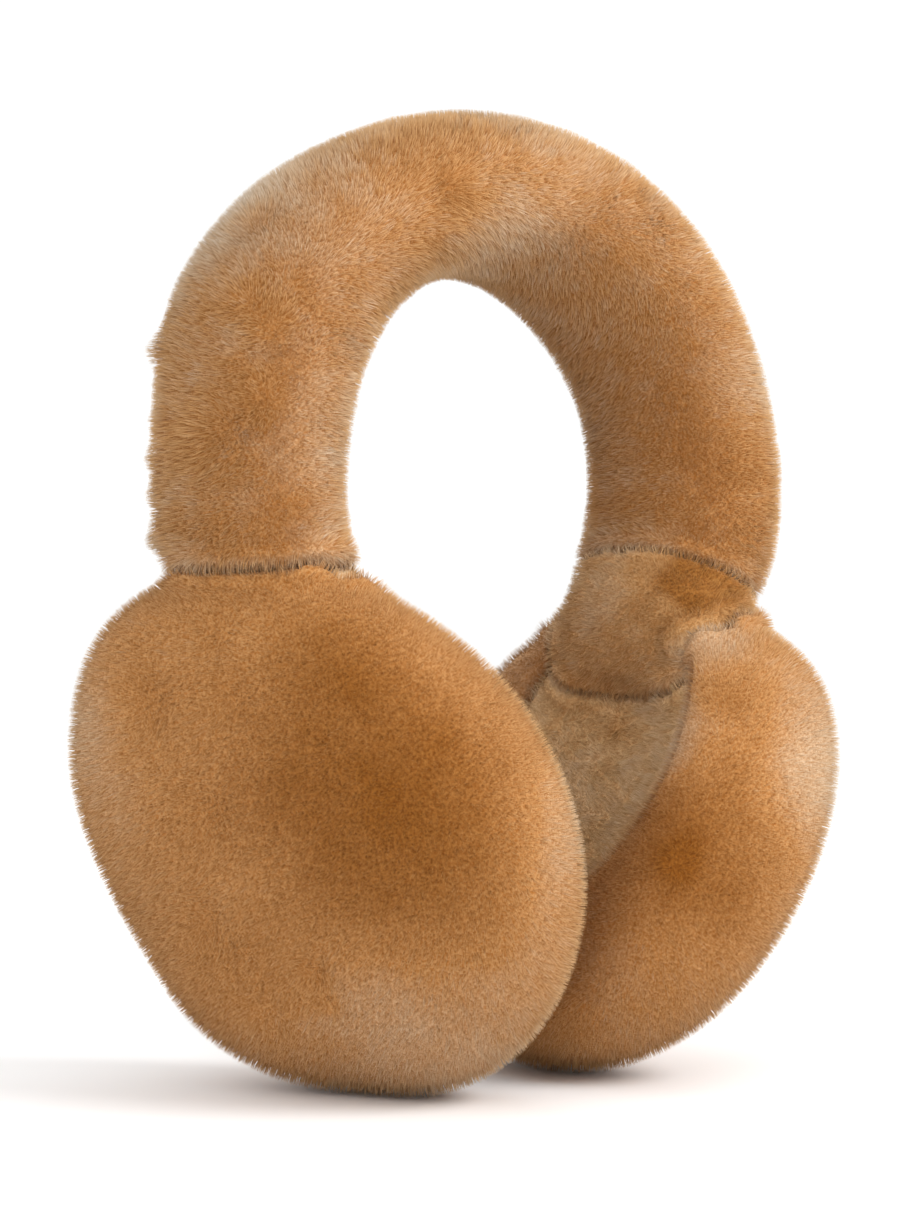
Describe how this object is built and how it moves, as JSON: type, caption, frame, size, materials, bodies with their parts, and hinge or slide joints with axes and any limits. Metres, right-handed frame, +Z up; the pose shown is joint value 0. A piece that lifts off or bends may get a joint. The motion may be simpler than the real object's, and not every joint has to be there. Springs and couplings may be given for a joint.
{
  "type": "fur earmuffs",
  "caption": "Deep-fur earmuffs: a fat fur headband over two domed ear pads with open, lined recesses, standing upright on the pads' flat bottoms.",
  "frame": {"origin": "middle of the footprint, on the surface that the earmuffs stand on", "axes": "+Z up, X from ear to ear with the left pad at -X, and the front of the earmuffs toward -Y"},
  "size_m": [0.1786, 0.1328, 0.229],
  "materials": {
    "headband_fur": "deep honey-brown shearling pile with pale tips",
    "collar_fur": "shorter honey-brown pile, lying down along the sleeve",
    "pad_fur": "deep dense honey-brown shearling pile with pale tips",
    "lining_fur": "shorter, rumpled grey-brown pile"
  },
  "bodies": {
    "root": {"headband": "headband_fur", "neck_sleeve_left": "collar_fur", "neck_sleeve_right": "collar_fur", "ear_shell_left": "pad_fur", "ear_shell_right": "pad_fur", "ear_lining_left": "lining_fur", "ear_lining_right": "lining_fur"}
  },
  "joints": []
}
